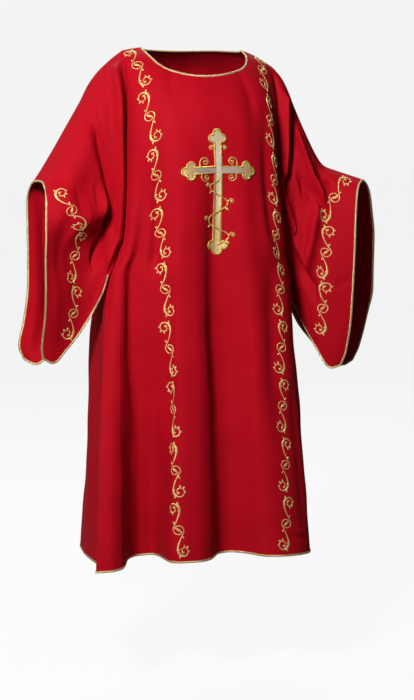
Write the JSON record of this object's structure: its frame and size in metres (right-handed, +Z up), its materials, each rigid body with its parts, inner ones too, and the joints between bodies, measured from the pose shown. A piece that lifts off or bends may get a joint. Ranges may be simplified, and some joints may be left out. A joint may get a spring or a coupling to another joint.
{
  "type": "dalmatic",
  "caption": "Knee-length wide-sleeved vestment with a low round neck, open-under sleeves, bound edges and an applied budded cross on the front.",
  "frame": {"origin": "middle of the neck opening at the height of the shoulder seams, where the wearer's neck and shoulders hold the garment", "axes": "+Z up, -Y the way the wearer faces, +X to the wearer's left"},
  "size_m": [0.9389, 0.4153, 1.2798],
  "materials": {
    "red_cloth": "soft plain weave with a slight sheen",
    "gold_braid": "metallic gold thread",
    "pale_lame": "pale gold metallic satin"
  },
  "bodies": {
    "root": {"front_panel": "red_cloth", "back_panel": "red_cloth", "sleeve_right": "red_cloth", "sleeve_left": "red_cloth", "neck_braid": "gold_braid", "hem_braid": "gold_braid", "sleeve_braid_right": "gold_braid", "sleeve_braid_left": "gold_braid", "cross": "pale_lame"}
  },
  "joints": []
}
